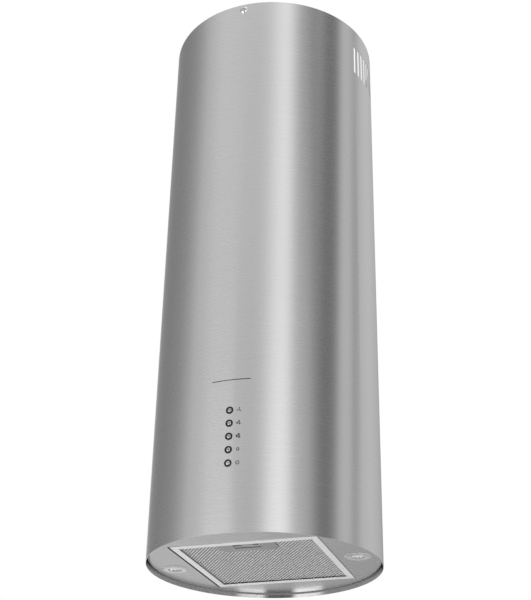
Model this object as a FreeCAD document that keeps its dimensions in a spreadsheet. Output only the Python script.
"""Island range hood: a stainless steel tube that hangs from the ceiling over a cooking island.

Frame: the origin is the centre of the ceiling frame's top face, +Z is up and -Y is the front, where
the push buttons are. All sizes are in millimetres and come from the spreadsheet called Sizes.
"""

import FreeCAD, Part
import math
import os
import re

import Sketcher
from FreeCAD import Placement, Rotation, Vector

SIZES = {
    # outer shell
    "shell_radius": 195.0,
    "shell_wall": 0.8,
    "hood_height": 1040.0,
    "ceiling_gap": 1.0,
    "vent_drop": 43.0,
    "vent_length": 62.0,
    "vent_radius": 2.8,
    "vent_angle": 3.86,
    "vents_each_way": 6,
    "seam_width": 1.2,
    "seam_depth": 0.3,
    # straps and screws that hold the shell
    "strap_half": 12.0,
    "strap_sheet": 2.0,
    "strap_drop": 4.0,
    "strap_length": 24.0,
    "screw_radius": 2.0,
    "screw_hole": 2.1,
    "screw_head": 3.8,
    "screw_length": 7.0,
    "washer_radius": 7.6,
    "washer_height": 1.4,
    "washer_bore": 2.2,
    # frame that hangs from the ceiling
    "frame_half": 108.0,
    "frame_opening": 86.0,
    "frame_sheet": 2.0,
    "frame_flange": 30.0,
    "anchor_radius": 4.0,
    "anchor_x": 96.0,
    "anchor_y": 50.0,
    "upright_leg": 25.0,
    "bolt_radius": 2.5,
    "bolt_drop": 17.0,
    "nut_half": 4.6,
    "nut_height": 4.0,
    "head_height": 3.5,
    "row_start": 230.0,
    "row_length": 200.0,
    "shell_screw_drop": 12.7,
    # blower box under the deck
    "deck_depth": 700.0,
    "deck_sheet": 1.0,
    "box_half": 132.0,
    "box_sheet": 1.0,
    "box_flange": 12.0,
    "box_lip": 6.0,
    "box_screw_inset": 6.0,
    "box_screw_spread": 45.0,
    # suction panel and its filter
    "panel_recess": 7.5,
    "panel_sheet": 1.0,
    "panel_gap": 0.4,
    "panel_flange": 16.0,
    "panel_round": 6.5,
    "opening_half_x": 124.0,
    "opening_half_y": 123.0,
    "opening_lip": 11.0,
    "filter_half_x": 121.5,
    "filter_half_y": 121.0,
    "filter_shift": 1.5,
    "filter_proud": 0.5,
    "filter_depth": 9.0,
    "filter_channel": 11.0,
    "filter_sheet": 0.8,
    "handle_half": 48.0,
    "handle_depth": 38.0,
    "handle_sheet": 1.2,
    "finger_half": 21.5,
    "finger_depth": 19.0,
    "slider_start": 24.0,
    "slider_end": 35.5,
    "slider_rib_start": 26.4,
    "latch_half": 9.0,
    "latch_thick": 2.0,
    "latch_rise": 3.4,
    "latch_reach": 1.6,
    "latch_room_half": 30.0,
    "latch_room_start": 12.5,
    "latch_room_end": 43.0,
    "latch_room_height": 5.6,
    "keeper_half": 8.0,
    "keeper_sheet": 0.7,
    "keeper_depth": 2.5,
    "tongue_half": 7.0,
    "tongue_offset": 75.0,
    "spring_offset": 25.0,
    "front_lip": 1.6,
    # lamps
    "lamp_offset": 158.0,
    "lamp_flange_radius": 22.0,
    "lamp_barrel_radius": 20.0,
    "lamp_mouth_radius": 11.0,
    "lamp_flange_sheet": 1.2,
    "bezel_groove_radius": 19.6,
    "bezel_groove_width": 0.9,
    "bezel_groove_depth": 0.8,
    "lamp_depth": 24.0,
    "lamp_wall": 1.0,
    "lamp_floor": 0.4,
    "reflector_height": 14.0,
    "reflector_neck": 4.5,
    "bulb_radius": 3.6,
    "bulb_low": 6.0,
    "bulb_high": 17.0,
    "socket_radius": 8.0,
    # push buttons
    "button_radius": 4.6,
    "button_ring": 6.1,
    "button_pitch": 22.2,
    "button_lowest": 111.3,
    "ring_proud": 0.6,
    "button_proud": 0.9,
    "switch_half": 15.0,
    "switch_front": 190.0,
    "switch_rear": 168.0,
    "switch_wall": 1.5,
    "switch_margin": 15.0,
    # blower
    "blower_y": -15.0,
    "blower_depth": 850.0,
    "blower_half": 65.0,
    "scroll_start": 85.0,
    "scroll_end": 123.0,
    "scroll_sheet": 0.8,
    "neck_front": 47.0,
    "impeller_radius": 75.0,
    "impeller_half": 58.0,
    "blade_depth": 13.0,
    "blade_count": 36,
    "blade_lean": 4.5,
    "blade_sheet": 0.9,
    "wheel_sheet": 2.0,
    "hub_radius": 12.0,
    "hub_length": 20.0,
    "inlet_radius": 66.0,
    "shaft_radius": 4.0,
    "motor_radius": 44.0,
    "rotor_radius": 24.0,
    "motor_start": 14.0,
    "motor_end": 90.0,
    "motor_wall": 1.2,
    "core_start": 34.0,
    "core_end": 66.0,
    "winding_length": 9.0,
    "bushing_radius": 9.0,
    "bushing_length": 7.0,
    "clamp_start": 84.0,
    "clamp_width": 6.0,
    "clamp_wall": 4.0,
    "leg_radius": 81.0,
    "leg_half": 6.0,
    "leg_sheet": 2.0,
    "foot_length": 7.0,
    # duct collar with its flaps
    "collar_radius": 75.0,
    "collar_wall": 1.6,
    "collar_height": 45.0,
    "collar_flange": 84.0,
    "flap_radius": 72.6,
    "flap_sheet": 1.2,
    "flap_axis": 18.0,
    "pin_radius": 1.5,
    "hinge_offset": 3.4,
    "barrel_radius": 2.7,
    "barrel_half": 66.0,
    "bead_depth": 2.4,
    "bead_height": 1.2,
    "flange_sheet": 1.2,
    # electrics
    "cable_radius": 2.5,
    "motor_cable_x": 114.0,
    "motor_cable_y": -60.0,
    "capacitor_x": 120.0,
    "capacitor_y": 60.0,
    "capacitor_radius": 10.0,
    "capacitor_height": 48.0,
    "capacitor_stud": 3.0,
    "gland_x": -30.0,
    "gland_y": -130.0,
    "gland_radius": 6.0,
    "control_half": 55.0,
    "control_depth": 42.0,
    "control_low": 6.0,
    "control_tall": 58.0,
    "control_sheet": 1.2,
}

BUTTONS = ("off", "lamp", "fan_high", "fan_medium", "fan_low")  # from the lowest to the highest
CORNERS = ("front_left", "front_right", "rear_right", "rear_left")
SIDES = (("left", -1), ("right", 1))

doc = FreeCAD.newDocument("island_range_hood")
sheet = doc.addObject("Spreadsheet::Sheet", "Sizes")
for row, (alias, number) in enumerate(SIZES.items(), 1):
    sheet.set(f"A{row}", alias)
    sheet.set(f"B{row}", str(number))
    sheet.setAlias(f"B{row}", alias)
doc.recompute()
nodes = {}


# ---------------------------------------------------------------- helpers


def linked(formula):
    """A formula in the sheet's names, as an expression that FreeCAD can bind."""
    return re.sub(r"[a-z_]+", lambda word: f"Sizes.{word[0]}" if word[0] in SIZES else word[0], str(formula))


def value(formula):
    """What a formula in the sheet's names comes to."""
    return float(sheet.evalExpression(linked(formula)))


def bind(item, name, formula):
    item.setExpression(name, linked(formula))


def node(label, item):
    """Registers an object as a sub-part, under the name of its file."""
    item.Label = label
    nodes[label] = item
    return item


def block(x, y, z):
    """A box between two formulas along each axis."""
    solid = doc.addObject("Part::Box", "block")
    for side, axis, (low, high) in (("Length", "x", x), ("Width", "y", y), ("Height", "z", z)):
        bind(solid, side, f"({high}) - ({low})")
        bind(solid, f"Placement.Base.{axis}", low)
    return solid


def turned(axis):
    """The rotation that carries +Z onto an axis."""
    return Rotation(Vector(0, 0, 1), {"x": Vector(1, 0, 0), "y": Vector(0, 1, 0), "z": Vector(0, 0, 1)}[axis])


def aim(solid, axis, start, centre):
    """Stands a primitive along an axis from start, with its centre line at the other two coordinates."""
    solid.Placement = Placement(Vector(), turned(axis))
    others = [name for name in "xyz" if name != axis]
    for name, formula in zip([axis, *others], [start, *centre]):
        bind(solid, f"Placement.Base.{name}", formula)
    return solid


def rod(radius, axis, span, centre=("0", "0")):
    """A cylinder along an axis, between the two formulas of span."""
    solid = doc.addObject("Part::Cylinder", "rod")
    bind(solid, "Radius", radius)
    bind(solid, "Height", f"({span[1]}) - ({span[0]})")
    return aim(solid, axis, span[0], centre)


def cone(radius_low, radius_high, axis, span, centre=("0", "0")):
    solid = doc.addObject("Part::Cone", "cone")
    bind(solid, "Radius1", radius_low)
    bind(solid, "Radius2", radius_high)
    bind(solid, "Height", f"({span[1]}) - ({span[0]})")
    return aim(solid, axis, span[0], centre)


def hexagon(width, axis, span, centre=("0", "0")):
    """A hexagonal prism, width across its corners halved, such as a nut or a bolt's head."""
    solid = doc.addObject("Part::Prism", "hexagon")
    solid.Polygon = 6
    bind(solid, "Circumradius", width)
    bind(solid, "Height", f"({span[1]}) - ({span[0]})")
    return aim(solid, axis, span[0], centre)


def fuse(*pieces):
    joined = doc.addObject("Part::MultiFuse", "fuse")
    joined.Shapes = list(pieces)
    joined.Refine = True
    return joined


def cut(base, *tools):
    result = doc.addObject("Part::Cut", "cut")
    result.Base = base
    result.Tool = tools[0] if len(tools) == 1 else fuse(*tools)
    return result


def common(*pieces):
    result = doc.addObject("Part::MultiCommon", "common")
    result.Shapes = list(pieces)
    return result


def group(*pieces):
    """Separate solids in one node, such as a set of identical screws."""
    held = doc.addObject("Part::Compound", "group")
    held.Links = list(pieces)
    return held


def body(label):
    return node(label, doc.addObject("PartDesign::Body", label))


def origin_of(owner, role):
    return next(item for item in owner.Origin.OriginFeatures if item.Role == role)


def sketch(owner, plane, offset="0"):
    """A sketch on one of the body's origin planes, moved along the plane's normal.

    On XY it draws X and Y, normal +Z. On XZ it draws X and Z, normal -Y. On YZ it draws Y and Z, normal +X.
    """
    drawing = owner.newObject("Sketcher::SketchObject", "sketch")
    drawing.AttachmentSupport = [(origin_of(owner, plane + "_Plane"), "")]
    drawing.MapMode = "FlatFace"
    bind(drawing, "AttachmentOffset.Base.z", offset)
    return drawing


def pin_point(drawing, geometry, point, x, y):
    """Holds a point of a sketch at two formulas."""
    for kind, formula in (("DistanceX", x), ("DistanceY", y)):
        limit = Sketcher.Constraint(kind, -1, 1, geometry, point, value(formula))
        drawing.setExpression(f"Constraints[{drawing.addConstraint(limit)}]", linked(formula))


def circle(drawing, x, y, radius):
    ring = drawing.addGeometry(Part.Circle(Vector(value(x), value(y)), Vector(0, 0, 1), value(radius)))
    pin_point(drawing, ring, 3, x, y)
    limit = drawing.addConstraint(Sketcher.Constraint("Radius", ring, value(radius)))
    drawing.setExpression(f"Constraints[{limit}]", linked(radius))
    return ring


def outline(drawing, corners):
    """A closed outline with straight sides, each corner held at its two formulas."""
    places = [Vector(value(x), value(y)) for x, y in corners]
    lines = [
        drawing.addGeometry(Part.LineSegment(places[i], places[(i + 1) % len(places)]))
        for i in range(len(places))
    ]
    for i, line in enumerate(lines):
        drawing.addConstraint(Sketcher.Constraint("Coincident", lines[i - 1], 2, line, 1))
        pin_point(drawing, line, 1, *corners[i])
    return lines


def rectangle(drawing, x_low, x_high, y_low, y_high):
    return outline(drawing, [(x_low, y_low), (x_high, y_low), (x_high, y_high), (x_low, y_high)])


def pad(owner, drawing, length, reverse=False, middle=False):
    feature = owner.newObject("PartDesign::Pad", "pad")
    feature.Profile = drawing
    bind(feature, "Length", length)
    feature.Reversed = reverse
    feature.Midplane = middle
    doc.recompute()
    return feature


def pocket(owner, drawing, length=None, reverse=False, middle=False):
    """Cuts a sketch into the body, through all of it if no length is given, and checks that it cut."""
    before = owner.Shape.Volume
    feature = owner.newObject("PartDesign::Pocket", "pocket")
    feature.Profile = drawing
    feature.Reversed = reverse
    feature.Midplane = middle
    if length is None:
        feature.Type = "ThroughAll"
    else:
        bind(feature, "Length", length)
    doc.recompute()
    if owner.Shape.Volume > before - 1e-6:
        raise RuntimeError(f"a pocket in {owner.Label} cuts nothing")
    return feature


def revolve(owner, drawing, axis):
    """Turns a sketch about an axis of the body's origin, such as Z."""
    feature = owner.newObject("PartDesign::Revolution", "revolution")
    feature.Profile = drawing
    feature.ReferenceAxis = (origin_of(owner, axis + "_Axis"), [""])
    feature.Angle = 360
    doc.recompute()
    return feature


def pattern_round(owner, original, axis, angle, count, reverse=False):
    feature = owner.newObject("PartDesign::PolarPattern", "pattern")
    feature.Originals = [original]
    feature.Axis = (origin_of(owner, axis + "_Axis"), [""])
    feature.Reversed = reverse
    bind(feature, "Angle", angle)
    bind(feature, "Occurrences", count)
    owner.Tip = feature
    doc.recompute()
    return feature


def pattern_line(owner, original, axis, length, count):
    feature = owner.newObject("PartDesign::LinearPattern", "pattern")
    feature.Originals = [original]
    feature.Direction = (origin_of(owner, axis + "_Axis"), [""])
    bind(feature, "Length", length)
    bind(feature, "Occurrences", count)
    owner.Tip = feature
    doc.recompute()
    return feature


def soften(owner, wanted, radius):
    """Rounds the edges of the body that the test picks."""
    last = owner.Tip
    names = [f"Edge{i}" for i, edge in enumerate(last.Shape.Edges, 1) if wanted(edge)]
    if not names:
        raise RuntimeError(f"no edge to round in {owner.Label}")
    feature = owner.newObject("PartDesign::Fillet", "fillet")
    feature.Base = (last, names)
    bind(feature, "Radius", radius)
    doc.recompute()
    return feature


def is_ring(edge, radius, z):
    """Whether an edge is a circle about Z of that radius at that height."""
    curve = edge.Curve
    return (
        isinstance(curve, Part.Circle)
        and abs(curve.Radius - value(radius)) < 0.01
        and abs(curve.Center.z - value(z)) < 0.01
        and abs(curve.Center.x) + abs(curve.Center.y) < 0.01
    )


def shaped(shape):
    """An object for a shape that no primitive or feature makes."""
    item = doc.addObject("Part::Feature", "shape")
    item.Shape = shape
    return item


# ---------------------------------------------------------------- outer shell


def make_outer_shell():
    """One rolled tube with five button holes, two screw holes and a fan of vents each side."""
    shell = body("outer_shell")
    ring = sketch(shell, "XY", "-ceiling_gap")
    circle(ring, "0", "0", "shell_radius")
    circle(ring, "0", "0", "shell_radius - shell_wall")
    pad(shell, ring, "hood_height - ceiling_gap", reverse=True)

    button = sketch(shell, "XZ", "shell_radius + 2")
    circle(button, "0", "button_lowest - hood_height", "button_ring + 0.2")
    lowest = pocket(shell, button, "8")
    pattern_line(shell, lowest, "Z", "4 * button_pitch", "5")

    screw = sketch(shell, "XZ")
    circle(screw, "0", "-ceiling_gap - shell_screw_drop", "screw_hole + 0.2")
    pocket(shell, screw, middle=True)

    vent = sketch(shell, "YZ")
    top, bottom = "-ceiling_gap - vent_drop", "-ceiling_gap - vent_drop - vent_length"
    slot(vent, "0", f"{bottom} + vent_radius", f"{top} - vent_radius", "vent_radius")
    middle = pocket(shell, vent, middle=True)
    for reverse in (False, True):
        pattern_round(shell, middle, "Z", "vent_angle * (vents_each_way - 1)", "vents_each_way", reverse)

    seam = sketch(shell, "XY", "-ceiling_gap")
    rectangle(seam, "-seam_width / 2", "seam_width / 2", "shell_radius - seam_depth", "shell_radius + 1")
    pocket(shell, seam)


def slot(drawing, x, y_low, y_high, radius):
    """An upright slot with round ends, from the centre of one end to the centre of the other."""
    side, low, high, middle = value(radius), value(y_low), value(y_high), value(x)
    up = Vector(0, 0, 1)
    top = drawing.addGeometry(
        Part.ArcOfCircle(Part.Circle(Vector(middle, high), up, side), 0, math.pi)
    )
    bottom = drawing.addGeometry(
        Part.ArcOfCircle(Part.Circle(Vector(middle, low), up, side), math.pi, 2 * math.pi)
    )
    left = drawing.addGeometry(Part.LineSegment(Vector(middle - side, high), Vector(middle - side, low)))
    right = drawing.addGeometry(Part.LineSegment(Vector(middle + side, low), Vector(middle + side, high)))
    loop = (top, left, bottom, right, top)
    for a, b in zip(loop, loop[1:]):
        drawing.addConstraint(Sketcher.Constraint("Tangent", a, 2, b, 1))
    pin_point(drawing, top, 3, x, y_high)
    pin_point(drawing, bottom, 3, x, y_low)
    limit = drawing.addConstraint(Sketcher.Constraint("Radius", top, side))
    drawing.setExpression(f"Constraints[{limit}]", linked(radius))


# ---------------------------------------------------------------- hanging frame


def make_frame(label, top, hole, upside_down):
    """A square frame of sheet with a flange round it: its flat face is at top, or its foot if upside down."""
    frame = body(label)
    flat = sketch(frame, "XY", top)
    rectangle(flat, "-frame_half", "frame_half", "-frame_half", "frame_half")
    rectangle(flat, "-frame_opening", "frame_opening", "-frame_opening", "frame_opening")
    pad(frame, flat, "frame_sheet", reverse=not upside_down)
    flange = sketch(frame, "XY", top)
    inner = "frame_half - frame_sheet"
    rectangle(flange, "-frame_half", "frame_half", "-frame_half", "frame_half")
    rectangle(flange, f"-({inner})", inner, f"-({inner})", inner)
    pad(frame, flange, "frame_flange", reverse=not upside_down)
    anchors = sketch(frame, "XY", f"{top} {'-' if upside_down else '+'} 1")
    for x in ("-anchor_x", "anchor_x"):
        for y in ("-anchor_y", "anchor_y"):
            circle(anchors, x, y, hole)
    pocket(frame, anchors, "10", reverse=upside_down)
    bolt_z = f"{top} {'+' if upside_down else '-'} bolt_drop"
    middle = "frame_half - frame_sheet - upright_leg / 2"
    for plane in ("XZ", "YZ"):
        holes = sketch(frame, plane)
        for x in (f"-({middle})", middle):
            circle(holes, x, bolt_z, "bolt_radius + 0.2")
        pocket(frame, holes, middle=True)


def make_upright(label, quarter):
    """One corner angle between the two frames, with a row of adjusting holes in each leg."""
    upright = body(label)
    profile = sketch(upright, "XY", "-frame_sheet")
    out, back = "-(frame_half - frame_sheet)", "-(frame_half - frame_sheet - upright_leg)"
    inside = "-(frame_half - 2 * frame_sheet)"
    outline(profile, [(out, out), (back, out), (back, inside), (inside, inside), (inside, back), (out, back)])
    pad(upright, profile, "deck_depth - 2 * frame_sheet", reverse=True)
    middle = "-(frame_half - frame_sheet - upright_leg / 2)"
    for plane in ("XZ", "YZ"):
        ends = sketch(upright, plane, "0")
        circle(ends, middle, "-bolt_drop", "bolt_radius + 0.2")
        circle(ends, middle, "bolt_drop - deck_depth", "bolt_radius + 0.2")
        pocket(upright, ends, middle=True)
        row = sketch(upright, plane, "0")
        circle(row, middle, "-bolt_drop - row_start", "bolt_radius + 0.2")
        pattern_line(upright, pocket(upright, row, middle=True), "Z", "row_length", "5")
    upright.Placement = Placement(Vector(), Rotation(Vector(0, 0, 1), 90 * quarter))


def make_frame_fasteners():
    """A hex bolt and a nut through each leg of each upright, top and bottom."""
    bolts, nuts = [], []
    face, grip = "frame_half", "frame_half - 2 * frame_sheet"
    middle = "frame_half - frame_sheet - upright_leg / 2"
    for z in ("-bolt_drop", "bolt_drop - deck_depth"):
        for axis in "xy":
            for side in (-1, 1):
                for place in (f"-({middle})", middle):
                    spans = {
                        "head": (face, f"{face} + head_height"),
                        "shank": (f"{grip} - nut_height - 2", face),
                        "nut": (f"{grip} - nut_height", grip),
                    }
                    if side < 0:
                        spans = {name: (f"-({b})", f"-({a})") for name, (a, b) in spans.items()}
                    centre = (place, z)
                    head = hexagon("nut_half", axis, spans["head"], centre)
                    bolts.append(fuse(head, rod("bolt_radius", axis, spans["shank"], centre)))
                    hole = rod("bolt_radius", axis, spans["shank"], centre)
                    nuts.append(cut(hexagon("nut_half", axis, spans["nut"], centre), hole))
    node("frame_bolts", group(*bolts))
    node("frame_nuts", group(*nuts))


def make_shell_brackets():
    """Front and rear straps that carry the shell's top screws."""
    straps, screws, washers = [], [], []
    drop = "-ceiling_gap - shell_screw_drop"
    wide = ("-strap_half", "strap_half")
    reach = "(shell_radius - shell_wall - 0.7)"
    seat = "(shell_radius + 0.1)"
    for side in (-1, 1):

        def span(low, high):
            return (low, high) if side > 0 else (f"-({high})", f"-({low})")

        def taper(base, tip, low, high):
            radii = (base, tip) if side > 0 else (tip, base)
            return cone(*radii, "y", span(low, high), ("0", drop))

        top, bottom = "-strap_drop", "-strap_drop - strap_length"
        strap = fuse(
            block(wide, span("frame_half", "frame_half + strap_sheet"), (bottom, top)),
            block(wide, span("frame_half", reach), ("-strap_drop - strap_sheet", top)),
            block(wide, span(f"{reach} - strap_sheet", reach), (f"{bottom} + 2", top)),
        )
        hole = rod("screw_radius + 0.05", "y", span(f"{reach} - 4", f"{reach} + 1"), ("0", drop))
        straps.append(cut(strap, hole))
        washer = taper("washer_radius", "washer_radius - 2.4", seat, f"{seat} + washer_height")
        bore = rod("washer_bore", "y", span("shell_radius - 1", "shell_radius + 3"), ("0", drop))
        washers.append(cut(washer, bore))
        on_washer = f"{seat} + washer_height"
        head = taper("screw_head + 0.8", "screw_head - 0.6", on_washer, f"{on_washer} + 2")
        tip = span(f"{seat} + 2.2", f"{seat} + 4")
        cross = [
            block((f"-{wide_by}", f"{wide_by}"), tip, (f"{drop} - {tall_by}", f"{drop} + {tall_by}"))
            for wide_by, tall_by in ((2.6, 0.5), (0.5, 2.6))
        ]
        shank = rod("screw_radius", "y", span(f"{reach} - 6", on_washer), ("0", drop))
        screws.append(cut(fuse(head, shank), *cross))
    node("shell_brackets", group(*straps))
    node("shell_screws", group(*screws))
    node("shell_washers", group(*washers))


# ---------------------------------------------------------------- blower box and suction panel

PANEL_BOTTOM = "panel_recess - hood_height"
PANEL_TOP = "panel_recess + panel_sheet - hood_height"


def make_blower_box():
    """The square inner body: four walls with an inward flange at each end, open above and below."""
    box = body("blower_box")
    walls = sketch(box, "XY", PANEL_TOP)
    inner = "box_half - box_sheet"
    rectangle(walls, "-box_half", "box_half", "-box_half", "box_half")
    rectangle(walls, f"-({inner})", inner, f"-({inner})", inner)
    top = "-deck_depth - deck_sheet"
    pad(box, walls, f"({top}) - ({PANEL_TOP})")
    for level, width, upward in ((PANEL_TOP, "box_lip", True), (top, "box_flange", False)):
        rim = sketch(box, "XY", level)
        edge = f"box_half - {width}"
        rectangle(rim, "-box_half", "box_half", "-box_half", "box_half")
        rectangle(rim, f"-({edge})", edge, f"-({edge})", edge)
        pad(box, rim, "box_sheet", reverse=not upward)
    notch = sketch(box, "XY", f"{PANEL_TOP} - 1")
    rectangle(notch, "filter_shift - 14", "filter_shift + 14", "-box_half + 1.5", "-box_half + 10")
    pocket(box, notch, "6", reverse=True)
    screws = sketch(box, "XY", "-deck_depth")
    for x, y in BOX_SCREWS:
        circle(screws, x, y, "screw_hole")
    circle(screws, "capacitor_x", "capacitor_y", "capacitor_stud + 0.2")
    pocket(box, screws, "4")


SCREW_LINE = "(box_half - box_screw_inset)"
BOX_SCREWS = [(f"{x} * {SCREW_LINE}", f"{y} * box_screw_spread") for x in (-1, 1) for y in (-1, 1)] + [
    (f"{x} * box_screw_spread", f"{y} * {SCREW_LINE}") for x in (-1, 1) for y in (-1, 1)
]


def make_top_deck():
    """The lid of the blower box, which the frame stands on and the duct collar sits in."""
    deck = body("top_deck")
    plate = sketch(deck, "XY", "-deck_depth")
    rectangle(plate, "-box_half", "box_half", "-box_half", "box_half")
    circle(plate, "0", "0", "collar_radius - collar_wall")
    pad(deck, plate, "deck_sheet", reverse=True)
    holes = sketch(deck, "XY", "1 - deck_depth")
    for x, y in BOX_SCREWS:
        circle(holes, x, y, "screw_hole")
    for x in ("-anchor_x", "anchor_x"):
        for y in ("-anchor_y", "anchor_y"):
            circle(holes, x, y, "screw_hole")
    circle(holes, "motor_cable_x", "motor_cable_y", "cable_radius + 2")
    circle(holes, "capacitor_x", "capacitor_y", "capacitor_stud + 0.2")
    pocket(deck, holes, "4")


def pan_screw(centre, seat, length):
    """A pan-head screw that points down from its seat."""
    x, y = centre
    head = rod("screw_head", "z", (seat, f"{seat} + 2.4"), (x, y))
    shank = rod("screw_radius", "z", (f"{seat} - {length}", seat), (x, y))
    cross = [
        block((f"{x} - {a}", f"{x} + {a}"), (f"{y} - {b}", f"{y} + {b}"), (f"{seat} + 1.2", f"{seat} + 3"))
        for a, b in ((2.2, 0.45), (0.45, 2.2))
    ]
    return cut(fuse(head, shank), *cross)


def make_box_screws():
    """Screws through the deck: eight into the box and four that hold the lower frame."""
    screws = [pan_screw(centre, "-deck_depth", "screw_length") for centre in BOX_SCREWS]
    for x in ("-anchor_x", "anchor_x"):
        for y in ("-anchor_y", "anchor_y"):
            screws.append(pan_screw((x, y), "frame_sheet - deck_depth", "screw_length"))
    node("box_screws", group(*screws))


def make_suction_panel():
    """The dished underside: a flat face with a rounded rim, the filter opening and two lamp holes."""
    panel = body("suction_panel")
    profile = sketch(panel, "XZ")
    rim = "shell_radius - shell_wall - panel_gap"
    inner = f"{rim} - panel_sheet"
    high = f"{PANEL_BOTTOM} + panel_flange"
    outside = [("0", PANEL_BOTTOM), (rim, PANEL_BOTTOM), (rim, high)]
    outline(profile, [*outside, (inner, high), (inner, PANEL_TOP), ("0", PANEL_TOP)])
    revolve(panel, profile, "Z")
    soften(panel, lambda edge: is_ring(edge, rim, PANEL_BOTTOM), "panel_round")
    soften(panel, lambda edge: is_ring(edge, inner, PANEL_TOP), "panel_round - panel_sheet")

    lip = sketch(panel, "XY", PANEL_BOTTOM)
    x, y = "opening_half_x", "opening_half_y"
    rectangle(lip, f"-{x} - panel_sheet", f"{x} + panel_sheet", f"-{y} - panel_sheet", f"{y} + panel_sheet")
    pad(panel, lip, "opening_lip + panel_sheet")
    hole = sketch(panel, "XY", f"{PANEL_BOTTOM} - 1")
    rectangle(hole, f"-{x}", x, f"-{y}", y)
    pocket(panel, hole, "opening_lip + 5", reverse=True)
    lamps = sketch(panel, "XY", f"{PANEL_BOTTOM} - 1")
    for place in ("-lamp_offset", "lamp_offset"):
        circle(lamps, place, "0", "lamp_barrel_radius + 0.4")
    pocket(panel, lamps, "5", reverse=True)

    window = sketch(panel, "XZ", "opening_half_y - 1")
    edge = "(keeper_half + 0.5)"
    low, high = f"{PANEL_TOP} + 0.2", f"{PANEL_TOP} + 1.9"
    rectangle(window, f"filter_shift - {edge}", f"filter_shift + {edge}", low, high)
    pocket(panel, window, "4", reverse=True)
    tongues = sketch(panel, "XZ", "-opening_half_y + 1")
    for place in TONGUE_PLACES:
        left, right = f"{place} - tongue_half - 2", f"{place} + tongue_half + 2"
        rectangle(tongues, left, right, PANEL_TOP, f"{PANEL_TOP} + 7.5")
    pocket(panel, tongues, "6")


TONGUE_PLACES = ("filter_shift - tongue_offset", "filter_shift + tongue_offset")


# ---------------------------------------------------------------- grease filter

FILTER_BOTTOM = "panel_recess - filter_proud - hood_height"
FILTER_TOP = f"{FILTER_BOTTOM} + filter_depth"
FRONT = "-filter_half_y"
LATCH_LOW = f"{FILTER_BOTTOM} + latch_rise"


def make_filter_frame():
    """A channel round the mesh, open towards the middle, with two tongues that hang in the rear slots."""
    frame = body("filter_frame")
    left, right = "filter_shift - filter_half_x", "filter_shift + filter_half_x"
    channel, skin = "filter_channel", "filter_sheet"
    ring = sketch(frame, "XY", FILTER_BOTTOM)
    rectangle(ring, left, right, "-filter_half_y", "filter_half_y")
    inner_y = f"(filter_half_y - {channel})"
    rectangle(ring, f"{left} + {channel}", f"{right} - {channel}", f"-{inner_y}", inner_y)
    pad(frame, ring, "filter_depth")
    lip = sketch(frame, "XY", FILTER_BOTTOM)
    rectangle(lip, left, right, "-filter_half_y - front_lip", "-filter_half_y + 2")
    pad(frame, lip, skin)
    groove = sketch(frame, "XY", f"{FILTER_BOTTOM} + {skin}")
    inner_y = f"(filter_half_y - {skin})"
    rectangle(groove, f"{left} + {skin}", f"{right} - {skin}", f"-{inner_y}", inner_y)
    pocket(frame, groove, f"filter_depth - 2 * {skin}", reverse=True)
    slit = sketch(frame, "XZ", "filter_half_y + 1")
    edge, low = "(latch_half + 0.4)", f"{LATCH_LOW} - 0.3"
    rectangle(slit, f"filter_shift - {edge}", f"filter_shift + {edge}", low, f"{low} + latch_thick + 0.6")
    pocket(frame, slit, "3")
    tongue = sketch(frame, "XY", f"{FILTER_BOTTOM} + 2.2")
    for place in TONGUE_PLACES:
        left, right = f"{place} - tongue_half", f"{place} + tongue_half"
        rectangle(tongue, left, right, "filter_half_y - 0.4", "filter_half_y + 4.5")
    pad(frame, tongue, "1")


def make_filter_mesh():
    """The pack of expanded aluminium layers, as one slab with a notch for the handle."""
    left, right = "filter_shift - filter_half_x", "filter_shift + filter_half_x"
    gap = "(filter_sheet + 0.3)"
    low = f"{FILTER_BOTTOM} + filter_sheet + handle_sheet"
    slab = block(
        (f"{left} + {gap}", f"{right} - {gap}"),
        (f"-filter_half_y + {gap}", f"filter_half_y - {gap}"),
        (low, f"{FILTER_TOP} - filter_sheet"),
    )
    notch = block(
        ("filter_shift - latch_room_half - 1", "filter_shift + latch_room_half + 1"),
        (FRONT, f"{FRONT} + latch_room_end + 1"),
        (f"{low} - 1", f"{FILTER_TOP} + 1"),
    )
    node("filter_mesh", cut(slab, notch))


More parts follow.
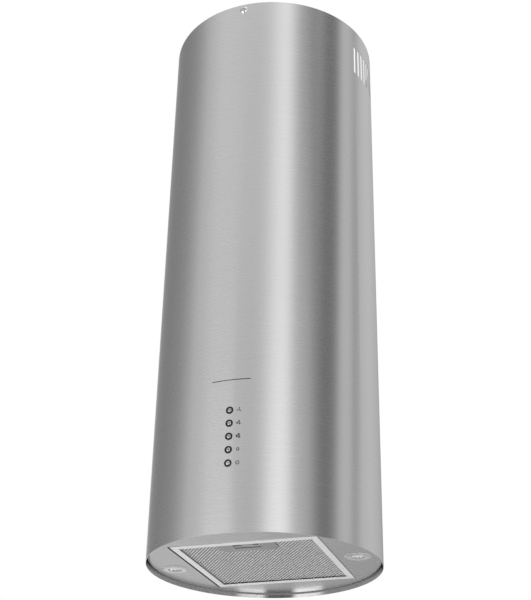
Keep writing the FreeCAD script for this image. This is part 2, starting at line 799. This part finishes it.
def make_filter_handle():
    """The plate at the front edge with its finger slot, and the housing behind it that holds the latch."""
    low = f"{FILTER_BOTTOM} + filter_sheet"
    top = f"{low} + handle_sheet"
    start = f"{FRONT} + filter_sheet + 0.2"
    end = f"{FRONT} + filter_channel + handle_depth"
    handle = body("filter_handle")
    plate = sketch(handle, "XY", low)
    left, right = "filter_shift - handle_half", "filter_shift + handle_half"
    bevel = f"{end} - 9"
    front_edge = [(left, start), (right, start)]
    outline(plate, [*front_edge, (right, bevel), (f"{right} - 9", end), (f"{left} + 9", end), (left, bevel)])
    pad(handle, plate, "handle_sheet")
    walls = sketch(handle, "XY", top)
    left, right = "filter_shift - latch_room_half", "filter_shift + latch_room_half"
    rectangle(walls, left, right, f"{FRONT} + latch_room_start", f"{FRONT} + latch_room_end")
    pad(handle, walls, "latch_room_height")
    room = sketch(handle, "XY", top)
    near, far = f"{FRONT} + latch_room_start + 1", f"{FRONT} + latch_room_end - 1"
    rectangle(room, f"{left} + 1", f"{right} - 1", near, far)
    pocket(handle, room, "latch_room_height - 0.8", reverse=True)
    finger = sketch(handle, "XY", f"{low} - 1")
    front = f"{FRONT} + filter_channel + 3.5"
    left, right = "filter_shift - finger_half", "filter_shift + finger_half"
    rectangle(finger, left, right, front, f"{front} + finger_depth")
    pocket(handle, finger, "handle_sheet + 2", reverse=True)
    door = sketch(handle, "XZ", f"-({FRONT}) - 11")
    edge, low = "(latch_half + 0.4)", f"{LATCH_LOW} - 0.3"
    rectangle(door, f"filter_shift - {edge}", f"filter_shift + {edge}", low, f"{low} + latch_thick + 0.6")
    pocket(handle, door, "4")


def make_latch():
    """The sliding plate behind the finger slot, with its bolt and rib, two return springs and the keeper."""
    plate_low = f"{FILTER_BOTTOM} + filter_sheet + handle_sheet + 0.2"
    plate = block(
        ("filter_shift - finger_half - 1.3", "filter_shift + finger_half + 1.3"),
        (f"{FRONT} + slider_start", f"{FRONT} + slider_end"),
        (plate_low, f"{LATCH_LOW} + latch_thick"),
    )
    bolt = block(
        ("filter_shift - latch_half", "filter_shift + latch_half"),
        (f"{FRONT} - latch_reach", f"{FRONT} + slider_start + 1"),
        (LATCH_LOW, f"{LATCH_LOW} + latch_thick"),
    )
    rib = block(
        ("filter_shift - finger_half + 1.5", "filter_shift + finger_half - 1.5"),
        (f"{FRONT} + slider_rib_start", f"{FRONT} + slider_rib_start + 1.6"),
        (f"{FILTER_BOTTOM} + 0.9", plate_low),
    )
    wings = block(
        ("filter_shift - latch_room_half + 2", "filter_shift + latch_room_half - 2"),
        (f"{FRONT} + 17", f"{FRONT} + 18.5"),
        (f"{LATCH_LOW} - 0.6", f"{LATCH_LOW} + latch_thick"),
    )
    node("latch_slider", fuse(plate, bolt, rib, wings))
    coils = [
        coil_spring(
            (f"filter_shift + {side} * spring_offset", f"{FRONT} + 18.6", f"{LATCH_LOW} + 0.7"),
            length=23.2,
            radius=1.5,
            wire=0.25,
        )
        for side in (-1, 1)
    ]
    node("latch_springs", group(*coils))
    wall = "-opening_half_y - panel_sheet"
    wide = ("filter_shift - keeper_half", "filter_shift + keeper_half")
    outer, low, high = f"{wall} - keeper_depth", f"{PANEL_TOP} + 0.4", f"{PANEL_TOP} + 10"
    keeper = fuse(
        block(wide, (f"{wall} - keeper_sheet", wall), (f"{low} + 2", high)),
        block(wide, (outer, wall), (f"{high} - keeper_sheet", high)),
        block(wide, (outer, f"{outer} + keeper_sheet"), (low, high)),
        block(wide, (outer, "-opening_half_y + 1.4"), (low, f"{low} + 1.2")),
    )
    node("latch_keeper", keeper)


def coil_spring(start_point, length, radius, wire):
    """A compression spring that runs back from a point, as a wire swept round a helix."""
    turns = 6
    helix = Part.makeHelix((length - 2 * wire) / turns, length - 2 * wire, radius)
    start = helix.Vertexes[0].Point
    section = Part.Wire(Part.makeCircle(wire, start, Vector(0, 1, 0.1)))
    coil = Part.Wire(helix).makePipeShell([section], True, True)
    coil.translate(Vector(0, 0, wire))
    spot = Vector(*(value(part) for part in start_point))
    coil.Placement = Placement(spot, turned("y")).multiply(coil.Placement)
    return shaped(coil)


# ---------------------------------------------------------------- blower


def beside_blower(item):
    """Moves an object that is drawn about the impeller's centre to where the blower sits."""
    bind(item, "Placement.Base.y", "blower_y")
    bind(item, "Placement.Base.z", "-blower_depth")
    return item


def spiral(margin, first, count=30):
    """Corners of the scroll's spiral, from the tongue round to the rear, drawn in by a margin."""
    corners = []
    for step in range(count + 1):
        share = step / count
        angle = math.radians(60 + 300 * share)
        radius = f"(scroll_start + (scroll_end - scroll_start) * {share:.4f} - {margin})"
        corners.append((f"{radius} * {math.cos(angle):.6f}", f"{radius} * {math.sin(angle):.6f}"))
    return [first, *corners] if first else corners


def make_scroll_housing():
    """The spiral housing round the impeller, with its neck under the deck and a rounded inlet each side."""
    scroll = body("scroll_housing")
    neck_top = "blower_depth - deck_depth - deck_sheet"
    outer = sketch(scroll, "YZ", "-blower_half")
    outline(outer, [*spiral("0", None), ("scroll_end", neck_top), ("-neck_front", neck_top)])
    pad(scroll, outer, "2 * blower_half")
    flange = sketch(scroll, "XY", neck_top)
    rectangle(flange, "-blower_half - 10", "blower_half + 10", "-neck_front - 10", "scroll_end + 8")
    pad(scroll, flange, "1", reverse=True)
    ring = sketch(scroll, "YZ")
    circle(ring, "0", "0", "inlet_radius + 6")
    pad(scroll, ring, "2 * blower_half + 6", middle=True)
    room = sketch(scroll, "YZ")
    high = f"{neck_top} + 1"
    tongue = ("scroll_start * 0.6400", "scroll_start * 0.7600")
    right = "scroll_end - scroll_sheet"
    outline(room, [*spiral("scroll_sheet", tongue), (right, high), ("1.3 - neck_front - 1.2", high)])
    pocket(scroll, room, "2 * (blower_half - scroll_sheet)", middle=True)
    inlet = sketch(scroll, "YZ")
    circle(inlet, "0", "0", "inlet_radius")
    pocket(scroll, inlet, middle=True)
    soften(
        scroll,
        lambda edge: isinstance(edge.Curve, Part.Circle)
        and abs(edge.Curve.Radius - value("inlet_radius")) < 0.01
        and abs(abs(edge.Curve.Center.x) - value("blower_half + 3")) < 0.01,
        "2.5",
    )
    beside_blower(scroll)


def make_impeller():
    """A double-inlet wheel: a hub and a centre disc, curved blades and a ring at each end."""
    wheel = body("impeller")
    disc = sketch(wheel, "YZ")
    circle(disc, "0", "0", "impeller_radius")
    pad(wheel, disc, "wheel_sheet", middle=True)
    for side in (-1, 1):
        ring = sketch(wheel, "YZ", f"{side} * (impeller_half - wheel_sheet / 2)")
        circle(ring, "0", "0", "impeller_radius")
        circle(ring, "0", "0", "impeller_radius - blade_depth")
        pad(wheel, ring, "wheel_sheet", middle=True)
    hub = sketch(wheel, "YZ")
    circle(hub, "0", "0", "hub_radius")
    pad(wheel, hub, "hub_length", middle=True)
    blade = sketch(wheel, "YZ")
    inner, outer = "(impeller_radius - blade_depth + 0.2)", "(impeller_radius - 0.2)"
    middle, lean, thick = f"({inner} + {outer}) / 2", "blade_lean", "blade_sheet"
    outline(
        blade,
        [
            (inner, "0"),
            (middle, f"{lean} * 0.3"),
            (outer, lean),
            (outer, f"{lean} + {thick}"),
            (middle, f"{lean} * 0.3 + {thick}"),
            (inner, thick),
        ],
    )
    first = pad(wheel, blade, "2 * impeller_half", middle=True)
    pattern_round(wheel, first, "X", "360", "blade_count")
    bore = sketch(wheel, "YZ")
    circle(bore, "0", "0", "shaft_radius")
    pocket(wheel, bore, middle=True)
    beside_blower(wheel)


def ring_along_x(outer, inner, low, high):
    """A ring about the impeller's axis between two x positions, already moved to the blower."""
    centre = ("blower_y", "-blower_depth")
    hole_low, hole_high = f"({low}) - 1", f"({high}) + 1"
    return cut(rod(outer, "x", (low, high), centre), rod(inner, "x", (hole_low, hole_high), centre))


def make_motor():
    """The motor in the right inlet: shaft, rotor, stator with windings, housing and bushings."""
    centre = ("blower_y", "-blower_depth")
    clearance = "shaft_radius + 0.5"
    node("motor_shaft", rod("shaft_radius", "x", ("-motor_start", "motor_end + 6"), centre))
    node("rotor", ring_along_x("rotor_radius", "shaft_radius", "core_start", "core_end"))
    node("stator", ring_along_x("motor_radius - motor_wall", "rotor_radius + 0.5", "core_start", "core_end"))
    ends = (("core_start - winding_length", "core_start"), ("core_end", "core_end + winding_length"))
    coils = [ring_along_x("motor_radius - 4", "rotor_radius + 3", low, high) for low, high in ends]
    node("windings", group(*coils))
    can = cut(
        rod("motor_radius", "x", ("motor_start", "motor_end"), centre),
        rod("motor_radius - motor_wall", "x", ("motor_start + motor_wall", "motor_end + 1"), centre),
        rod(clearance, "x", ("motor_start - 1", "motor_start + 2"), centre),
    )
    cap = ring_along_x("motor_radius", clearance, "motor_end", "motor_end + motor_wall")
    node("motor_housing", group(can, cap))
    bushings = [
        ring_along_x("bushing_radius", "shaft_radius + 0.05", low, high)
        for low, high in (
            ("motor_start + motor_wall", "motor_start + motor_wall + bushing_length"),
            ("motor_end - bushing_length", "motor_end"),
        )
    ]
    node("shaft_bushings", group(*bushings))


def make_motor_bracket():
    """A clamp ring with three legs that stand on the scroll's side, clear of the cable on top."""
    bracket = body("motor_bracket")
    ring = sketch(bracket, "YZ", "clamp_start")
    circle(ring, "0", "0", "motor_radius + clamp_wall")
    circle(ring, "0", "0", "motor_radius")
    pad(bracket, ring, "clamp_width")
    repeated = []
    for start, top, length in (
        ("clamp_start", "-(motor_radius + clamp_wall / 2)", "leg_sheet"),
        ("blower_half", "leg_sheet - leg_radius", "clamp_start - blower_half + leg_sheet"),
        ("blower_half", "foot_length - leg_radius", "leg_sheet"),
    ):
        strip = sketch(bracket, "YZ", start)
        rectangle(strip, "-leg_half", "leg_half", "-leg_radius", top)
        repeated.append(pad(bracket, strip, length))
    pattern = bracket.newObject("PartDesign::PolarPattern", "pattern")
    pattern.Originals = repeated
    pattern.Axis = (origin_of(bracket, "X_Axis"), [""])
    pattern.Angle = 360
    pattern.Occurrences = 3
    bracket.Tip = pattern
    doc.recompute()
    beside_blower(bracket)


# ---------------------------------------------------------------- duct collar


def make_collar():
    """The round spigot on the deck, with a bead under the two non-return flaps and their pins."""
    collar = body("duct_collar")
    profile = sketch(collar, "XZ")
    outer, inner, base = "collar_radius", "collar_radius - collar_wall", "-deck_depth"
    middle = f"{base} + flap_axis"
    bead_low, bead_high = f"{middle} - 2 * bead_height", f"{middle} - bead_height"
    bead = f"{inner} - bead_depth"
    outline(
        profile,
        [
            (inner, base),
            ("collar_flange", base),
            ("collar_flange", f"{base} + flange_sheet"),
            (outer, f"{base} + flange_sheet"),
            (outer, f"{base} + collar_height"),
            (inner, f"{base} + collar_height"),
            (inner, bead_high),
            (bead, bead_high),
            (bead, bead_low),
            (inner, bead_low),
        ],
    )
    revolve(collar, profile, "Z")
    holes = sketch(collar, "XZ")
    for place in ("-hinge_offset", "hinge_offset"):
        circle(holes, place, middle, "pin_radius")
    pocket(collar, holes, middle=True)
    pins = []
    across = ("-collar_radius", "collar_radius")
    for name, side in SIDES:
        hinge = f"{side} * hinge_offset"
        pins.append(rod("pin_radius", "y", across, (hinge, middle)))
        disc = rod("flap_radius", "z", (f"{middle} - flap_sheet / 2", f"{middle} + flap_sheet / 2"))
        span = ("hinge_offset", "flap_radius + 1") if side > 0 else ("-flap_radius - 1", "-hinge_offset")
        half = common(disc, block(span, across, (f"{middle} - 2", f"{middle} + 2")))
        barrel = rod("barrel_radius", "y", ("-barrel_half", "barrel_half"), (hinge, middle))
        bore = rod("pin_radius + 0.05", "y", across, (hinge, middle))
        node(f"flap_{name}", cut(fuse(half, barrel), bore))
    node("flap_pins", group(*pins))


# ---------------------------------------------------------------- controls

BUTTON_HEIGHTS = [f"button_lowest + {place} * button_pitch - hood_height" for place in range(len(BUTTONS))]


def make_controls():
    """The black button housing behind the front of the shell, its switches, bracket and five buttons."""
    low = "button_lowest - switch_margin - hood_height"
    high = "button_lowest + 4 * button_pitch + switch_margin - hood_height"
    front, rear, wall = "-switch_front", "-switch_rear", "switch_wall"
    case = block(("-switch_half", "switch_half"), (front, rear), (low, high))
    room = block(
        (f"{wall} - switch_half", f"switch_half - {wall}"),
        (f"{front} + 2", f"{rear} + 1"),
        (f"{low} + {wall}", f"{high} - {wall}"),
    )
    rim = "-shell_radius - ring_proud"
    collars = [rod("button_ring", "y", (rim, f"{front} + 1"), ("0", z)) for z in BUTTON_HEIGHTS]
    through = (f"{rim} - 1.4", f"{front} + 3")
    bores = [rod("button_radius + 0.4", "y", through, ("0", z)) for z in BUTTON_HEIGHTS]
    node("switch_housing", cut(fuse(case, *collars), room, *bores))

    board_front = f"{rear} - 6"
    board = block(
        (f"{wall} - switch_half", f"switch_half - {wall}"),
        (board_front, f"{board_front} + 1.6"),
        (f"{low} + 4", f"{high} - 4"),
    )
    switches = []
    for z in BUTTON_HEIGHTS:
        switches.append(block(("-5", "5"), (f"{board_front} - 6", board_front), (f"{z} - 5", f"{z} + 5")))
        switches.append(rod("1.75", "y", (f"{board_front} - 7.2", f"{board_front} - 6"), ("0", z)))
    node("switch_board", fuse(board, *switches))

    arms = ("-strap_half", "strap_half")
    bracket = fuse(
        block(("-22", "22"), (f"-box_half - {wall}", "-box_half"), (low, high)),
        block(arms, (rear, "-box_half"), (low, f"{low} + {wall}")),
        block(arms, (rear, "-box_half"), (f"{high} - {wall}", high)),
        block(("-switch_half", "switch_half"), (rear, f"{rear} + {wall}"), (low, high)),
    )
    node("switch_bracket", bracket)

    for name, z in zip(BUTTONS, BUTTON_HEIGHTS):
        face = rod("button_radius", "y", (f"{rim} - button_proud", f"{front} + 2.5"), ("0", z))
        collar = rod("button_radius + 1.6", "y", (f"{front} + 2.3", f"{front} + 3.8"), ("0", z))
        stem = rod("2", "y", (f"{front} + 3.7", f"{front} + 6"), ("0", z))
        node(f"button_{name}", fuse(face, collar, stem))


# ---------------------------------------------------------------- lamps


def make_lamps():
    """Two recessed spot lamps: a flat bezel with a small mouth, a cone reflector, a bulb and its holder."""
    reflectors, bulbs, holders = [], [], []
    base = PANEL_BOTTOM
    floor, top = f"{base} + lamp_floor", f"{base} + reflector_height"
    inside = "lamp_barrel_radius - lamp_wall"
    for name, side in SIDES:
        centre = (f"{side} * lamp_offset", "0")
        face = f"{base} - lamp_flange_sheet"
        flange = cone("lamp_flange_radius - lamp_flange_sheet", "lamp_flange_radius", "z", (face, base), centre)
        barrel = rod("lamp_barrel_radius", "z", (base, f"{base} + lamp_depth"), centre)
        room = rod(inside, "z", (floor, f"{base} + lamp_depth + 1"), centre)
        mouth = rod("lamp_mouth_radius", "z", (f"{base} - 2", f"{base} + 1"), centre)
        flare = cone("lamp_mouth_radius + lamp_flange_sheet", "lamp_mouth_radius", "z", (face, base), centre)
        deep = (f"{face} - 1", f"{face} + bezel_groove_depth")
        groove = cut(
            rod("bezel_groove_radius", "z", deep, centre),
            rod("bezel_groove_radius - bezel_groove_width", "z", (f"{face} - 2", base), centre),
        )
        node(f"lamp_bezel_{name}", cut(fuse(flange, barrel), room, mouth, flare, groove))

        rim = rod(inside, "z", (floor, f"{floor} + 0.8"), centre)
        skin = cone("lamp_mouth_radius + 0.8", "reflector_neck + 0.8", "z", (floor, top), centre)
        hollow = cone("lamp_mouth_radius", "reflector_neck", "z", (floor, top), centre)
        reflectors.append(cut(fuse(rim, skin), hollow))

        bulbs.append(rod("bulb_radius", "z", (f"{base} + bulb_low", f"{base} + bulb_high"), centre))
        lid = rod(inside, "z", (f"{base} + lamp_depth - 4", f"{base} + lamp_depth"), centre)
        socket = rod("socket_radius", "z", (f"{base} + bulb_high - 2", f"{base} + lamp_depth + 6"), centre)
        hole = rod("bulb_radius", "z", (top, f"{base} + bulb_high"), centre)
        holders.append(cut(fuse(lid, socket), hole))
    node("lamp_reflectors", group(*reflectors))
    node("lamp_bulbs", group(*bulbs))
    node("lamp_holders", group(*holders))


# ---------------------------------------------------------------- electrics


def make_control_box():
    """The electrical box on the front of the base frame, its lid, board, terminals and mains gland."""
    low, high = "control_low - deck_depth", "control_low + control_tall - deck_depth"
    rear, front = "-frame_half", "-frame_half - control_depth"
    skin = "control_sheet"
    shell = block(("-control_half", "control_half"), (front, rear), (low, high))
    room = block(
        (f"{skin} - control_half", f"control_half - {skin}"),
        (f"{front} - 1", f"{rear} - {skin}"),
        (f"{low} + {skin}", f"{high} - {skin}"),
    )
    entry = ("gland_x", "gland_y")
    node("control_box", cut(shell, room, rod("gland_radius", "z", (f"{high} - 3", f"{high} + 1"), entry)))
    lid = block(("-control_half", "control_half"), (f"{front} - {skin}", front), (low, high))
    lip = block(
        (f"-control_half + {skin}", f"control_half - {skin}"),
        (front, f"{front} + 6"),
        (f"{low} + {skin}", f"{low} + 2 * {skin}"),
    )
    node("control_lid", fuse(lid, lip))
    board = block(("-46", "46"), (f"{rear} - 8", f"{rear} - 6.4"), (f"{low} + 5", f"{high} - 5"))
    posts = [
        rod("2.5", "y", (f"{rear} - 6.4", f"{rear} - {skin}"), (x, z))
        for x in ("-40", "40")
        for z in (f"{low} + 10", f"{high} - 10")
    ]
    parts = [
        block(("-38", "-10"), (f"{rear} - 26", f"{rear} - 8"), (f"{low} + 14", f"{high} - 14")),
        block(("0", "14"), (f"{rear} - 22", f"{rear} - 8"), (f"{low} + 24", f"{high} - 10")),
        block(("20", "34"), (f"{rear} - 22", f"{rear} - 8"), (f"{low} + 24", f"{high} - 10")),
    ]
    node("control_board", fuse(board, *posts, *parts))
    base = f"{low} + 2 * {skin} + 0.4"
    block_body = block(("-50", "-14"), (f"{front} + 8", f"{front} + 14"), (base, f"{base} + 9"))
    wells = [
        rod("1.8", "z", (f"{base} + 4", f"{base} + 10"), (f"{-44 + 12 * place}", f"{front} + 11"))
        for place in range(3)
    ]
    foot = block(("-50", "-14"), (f"{front} + 8", f"{front} + 14"), (f"{low} + {skin}", base))
    node("terminal_block", cut(fuse(block_body, foot), *wells))
    gland = fuse(
        hexagon("gland_radius + 4", "z", (high, f"{high} + 5"), entry),
        rod("gland_radius + 1.5", "z", (f"{high} + 5", f"{high} + 14"), entry),
        rod("gland_radius", "z", (f"{high} - 8", high), entry),
        hexagon("gland_radius + 3", "z", (f"{high} - 7", f"{high} - 3"), entry),
    )
    node("cable_gland", cut(gland, rod("gland_radius - 2.5", "z", (f"{high} - 9", f"{high} + 15"), entry)))

    centre = ("capacitor_x", "capacitor_y")
    can = rod("capacitor_radius", "z", ("-deck_depth", "capacitor_height - deck_depth"), centre)
    stud = rod("capacitor_stud", "z", ("-deck_depth - 9", "-deck_depth"), centre)
    deep = ("capacitor_y - 3", "capacitor_y + 3")
    tall = ("capacitor_height - deck_depth", "capacitor_height + 8 - deck_depth")
    tabs = [block((f"capacitor_x + {x} - 0.4", f"capacitor_x + {x} + 0.4"), deep, tall) for x in (-4, 4)]
    node("capacitor", fuse(can, stud, *tabs))


def cable(label, corners):
    """A round cable through its corner points, straight between them and with a tangent arc at each."""
    points = [Vector(*(value(part) for part in corner)) for corner in corners]
    radius = value("cable_radius")
    edges, radii, start = [], [], points[0]
    for before, corner, after in zip(points, points[1:], points[2:]):
        into, out = (corner - before), (after - corner)
        turn = into.getAngle(out)
        bend = 0.45 * min(into.Length, out.Length) / math.tan(turn / 2)
        radii.append(f"{bend:.0f}")
        reach = bend * math.tan(turn / 2)
        begin = corner - into.normalize() * reach
        end = corner + out.normalize() * reach
        inward = (out - into).normalize()
        middle = corner + inward * (bend / math.cos(turn / 2) - bend)
        edges.append(Part.makeLine(start, begin))
        edges.append(Part.Arc(begin, middle, end).toShape())
        start = end
    edges.append(Part.makeLine(start, points[-1]))
    route = Part.Wire(edges)
    section = Part.Wire(Part.makeCircle(radius, points[0], points[1] - points[0]))
    solid = route.makePipeShell([section], True, False)
    expected = math.pi * radius**2 * route.Length
    if abs(solid.Volume - expected) > 0.01 * expected:
        raise RuntimeError(f"{label} came out with the wrong volume")
    print(f"{label}: {route.Length:.0f} mm long, bent to {', '.join(radii)} mm")
    return node(label, shaped(solid))


def make_cables():
    """The cables inside the hood; the mains cord to the gland belongs to the building."""
    rise = "45 - deck_depth"
    for name, side in SIDES:
        x = f"{side} * lamp_offset"
        cable(
            f"lamp_cable_{name}",
            [
                (x, "0", f"{PANEL_BOTTOM} + 30"),
                (x, "0", rise),
                (f"{side} * 120", "-130", rise),
                (f"{side} * control_half", "-130", rise),
            ],
        )
    top = "button_lowest + 4 * button_pitch + 15 - hood_height"
    cable(
        "switch_cable",
        [
            ("0", "-176", top),
            ("0", "-176", f"{top} + 40"),
            ("0", "-141", f"{top} + 90"),
            ("0", "-141", "control_low - deck_depth"),
        ],
    )
    cable(
        "motor_cable",
        [
            ("80", "blower_y", "motor_radius - blower_depth"),
            ("80", "blower_y", "motor_radius - blower_depth + 45"),
            ("motor_cable_x", "motor_cable_y", "-deck_depth - 40"),
            ("motor_cable_x", "motor_cable_y", "20 - deck_depth"),
            ("124", "-135", "20 - deck_depth"),
            ("control_half", "-135", "20 - deck_depth"),
        ],
    )


# ---------------------------------------------------------------- everything


def build():
    make_outer_shell()
    make_frame("ceiling_frame", "0", "anchor_radius", False)
    make_frame("base_frame", "-deck_depth", "screw_hole", True)
    for quarter, corner in enumerate(CORNERS):
        make_upright(f"upright_{corner}", quarter)
    make_frame_fasteners()
    make_shell_brackets()
    make_blower_box()
    make_top_deck()
    make_box_screws()
    make_suction_panel()
    make_filter_frame()
    make_filter_mesh()
    make_filter_handle()
    make_latch()
    make_scroll_housing()
    make_impeller()
    make_motor()
    make_motor_bracket()
    make_collar()
    make_controls()
    make_lamps()
    make_control_box()
    make_cables()


def check():
    """Stops the build if any object failed or any sub-part is missing or not sound."""
    doc.recompute()
    for item in doc.Objects:
        if {"Invalid", "Error"} & set(item.State):
            raise RuntimeError(f"{item.Name} ({item.Label}) is {item.State}")
    for label, item in nodes.items():
        if item.Shape.isNull() or not item.Shape.isValid() or not item.Shape.Solids:
            raise RuntimeError(f"{label} is not a sound solid")


def write():
    os.makedirs("parts", exist_ok=True)
    for label, item in nodes.items():
        item.Shape.exportStep(os.path.join("parts", f"{label}.step"))
    print(f"{len(nodes)} sub-parts written")


build()
check()
write()
